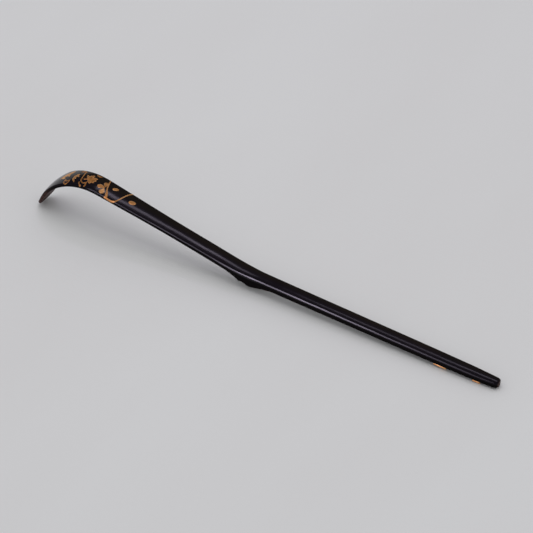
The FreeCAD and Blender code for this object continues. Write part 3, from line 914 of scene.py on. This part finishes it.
def make_motif(node, strokes, material, relief, surface):
    """One motif of the drawing, standing for its CAD node."""
    vertices, faces, rims = [], [], []
    painted_gleams = PAINTED_GLEAM.get(node, [0.0] * len(strokes))
    for (points, breadth, shape), gleam in zip(strokes, painted_gleams):
        stroke, stroke_faces, rim = stroke_mesh(points, breadth, shape, relief, surface)
        faces += [tuple(len(vertices) + corner for corner in face) for face in stroke_faces]
        vertices += list(stroke)
        rims += list(np.maximum(STEADY_GLEAM * rim if shape is steady else rim, gleam))
    piece = new_piece(node + "_relief", vertices, faces, material)
    paint(piece, "rim", rims)
    weld(piece)
    return piece


# -------------------------------------------------------------------------------- camera and light
CAMERA_AZIMUTH = 32.2 * DEGREE
CAMERA_ELEVATION = 40.0 * DEGREE
CAMERA_DISTANCE = 0.72
CAMERA_LENS = 149.7
SENSOR_WIDTH = 36.0
AIM_ACROSS = 0.01086  # the camera looks at a point on the table, beyond the scoop's middle
AIM_ALONG = -0.00398

# Lamp colours are linear red, green and blue; a purple one shows in the lacquer as a cool sheen.
WHITE = (1.0, 0.99, 0.98)
PURPLE = (0.98, 0.88, 1.1)
WORLD_COLOUR = (0.985, 0.99, 1.0, 1)
WORLD_STRENGTH = 0.56
OVERHEAD_SIZE = 0.6
OVERHEAD_HEIGHT = 1.0
OVERHEAD_ALONG = -0.03
OVERHEAD_RADIANCE = 1.3
BEVEL_LEAN = 45 * DEGREE

# The cloth and the curve that it rises in behind the scoop.
TABLE_HALF = 6.0
SWEEP_AZIMUTH = 40 * DEGREE
SWEEP_DISTANCE = 0.9
SWEEP_DEPTH = 0.7
SWEEP_HEIGHT = 0.42
SWEEP_HALF_WIDTH = 1.5
SWEEP_STEPS = 24
SWEEP_LIFT = 0.001  # the curve starts this far above the table


def make_camera():
    data = bpy.data.cameras.new("camera")
    data.lens = CAMERA_LENS
    data.sensor_width = SENSOR_WIDTH
    camera = bpy.data.objects.new("camera", data)
    flat = math.cos(CAMERA_ELEVATION)
    back = Vector(
        (
            math.sin(CAMERA_AZIMUTH) * flat,
            -math.cos(CAMERA_AZIMUTH) * flat,
            math.sin(CAMERA_ELEVATION),
        )
    )
    camera.location = Vector((AIM_ALONG, AIM_ACROSS, 0)) + back * CAMERA_DISTANCE
    camera.rotation_mode = "QUATERNION"
    camera.rotation_quaternion = (-back).to_track_quat("-Z", "Y")
    bpy.context.scene.collection.objects.link(camera)
    bpy.context.scene.camera = camera
    return camera


def mirrored_softbox(name, camera, place, lean, distance, size, radiance, slide=0.0):
    """A softbox that the back mirrors to the camera, at one place and one lean of its normal.

    lean is how far the surface there leans towards the near side, and slide moves the softbox
    along X afterwards.
    """
    x, z, tilt = spine_at(place)
    point = Vector((float(x), 0, float(z))) * MM
    normal = Vector((math.sin(tilt) * math.cos(lean), -math.sin(lean), math.cos(tilt) * math.cos(lean)))
    view = (camera.location - point).normalized()
    mirrored = 2 * normal.dot(view) * normal - view
    data = bpy.data.lights.new(name, "AREA")
    data.shape = "RECTANGLE"
    data.size, data.size_y = size
    data.energy = radiance * math.pi * size[0] * size[1]
    data.color = PURPLE
    light = bpy.data.objects.new(name, data)
    light.location = point + mirrored * distance + Vector((slide, 0, 0))
    light.rotation_mode = "QUATERNION"
    light.rotation_quaternion = (-mirrored).to_track_quat("-Z", "Y")
    bpy.context.scene.collection.objects.link(light)
    return light


def make_overhead():
    """A wide softbox straight above the arm, which casts the scoop's soft shadow on the cloth.

    It is hidden from reflections, so the lacquer doesn't mirror it.
    """
    data = bpy.data.lights.new("overhead_softbox", "AREA")
    data.size = OVERHEAD_SIZE
    data.energy = OVERHEAD_RADIANCE * math.pi * OVERHEAD_SIZE**2
    data.color = WHITE
    light = bpy.data.objects.new("overhead_softbox", data)
    light.location = (OVERHEAD_ALONG, 0, OVERHEAD_HEIGHT)
    light.visible_glossy = False
    bpy.context.scene.collection.objects.link(light)


def make_world():
    """Even, soft light from all round, hidden from reflections so the lacquer stays black."""
    world = bpy.data.worlds.new("soft_light")
    world.use_nodes = True
    background = world.node_tree.nodes["Background"]
    background.inputs["Color"].default_value = WORLD_COLOUR
    background.inputs["Strength"].default_value = WORLD_STRENGTH
    world.cycles_visibility.glossy = False
    bpy.context.scene.world = world


def make_sweep(material):
    """The cloth's far end, which rises in a long curve behind the scoop."""
    steps = np.linspace(0, 1, SWEEP_STEPS)
    rise = SWEEP_HEIGHT * steps**2
    run = SWEEP_DISTANCE + SWEEP_DEPTH * steps
    ahead = Vector((-math.sin(SWEEP_AZIMUTH), math.cos(SWEEP_AZIMUTH), 0))
    aside = Vector((ahead.y, -ahead.x, 0))
    vertices = []
    for out, up in zip(run, rise):
        for side in (-SWEEP_HALF_WIDTH, SWEEP_HALF_WIDTH):
            vertices.append(ahead * out + aside * side + Vector((0, 0, up + SWEEP_LIFT)))
    sweep = new_piece("cloth_sweep", vertices, grid_faces(len(steps), 2), material)


def make_table(material):
    """The cloth that the scoop lies on."""
    half = TABLE_HALF
    corners = [(-half, -half, 0), (half, -half, 0), (half, half, 0), (-half, half, 0)]
    table = new_piece("table_cloth", corners, [(0, 1, 2, 3)], material)


# ---------------------------------------------------------------------------------------- assembly
camera = make_camera()
bpy.context.scene.view_settings.view_transform = "Standard"
make_world()
make_overhead()
mirrored_softbox(
    "crown_softbox", camera, place=118.7, lean=6.6 * DEGREE, distance=0.9, size=(0.27, 0.11), radiance=3.9
)
bevel_softbox = mirrored_softbox(
    "bevel_softbox",
    camera,
    place=60.7,
    lean=BEVEL_LEAN,
    distance=0.8,
    size=(0.18, 0.2),
    radiance=11.4,
    slide=-0.04,
)
arm_softbox = mirrored_softbox(
    "arm_softbox", camera, place=100.7, lean=BEVEL_LEAN, distance=0.8, size=(0.16, 0.2), radiance=5.7
)
for softbox in (bevel_softbox, arm_softbox):
    softbox.visible_diffuse = False  # they only show in the lacquer, and don't light the cloth
cloth = table_material()
make_table(cloth)
make_sweep(cloth)

lacquer = make_lacquer(lacquer_material())
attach(lacquer, "root")
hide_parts("lacquer_coat")

gold = gold_material()
for node, strokes in SPRAY.items():
    placed = [(spray_points(path), breadth, shape) for path, breadth, shape in strokes]
    show_motif(node, make_motif(node, placed, gold, GOLD_RELIEF, back_point))
for node, (start, strokes) in EDGE_MARKS.items():
    placed = [(edge_points(start, path), breadth, shape) for path, breadth, shape in strokes]
    show_motif(node, make_motif(node, placed, gold, EDGE_RELIEF, edge_point))

finishes = {"bamboo_core": bamboo_material(), "ground_coat": ground_material()}
for node, material in finishes.items():
    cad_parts[node].data.materials.clear()
    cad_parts[node].data.materials.append(material)
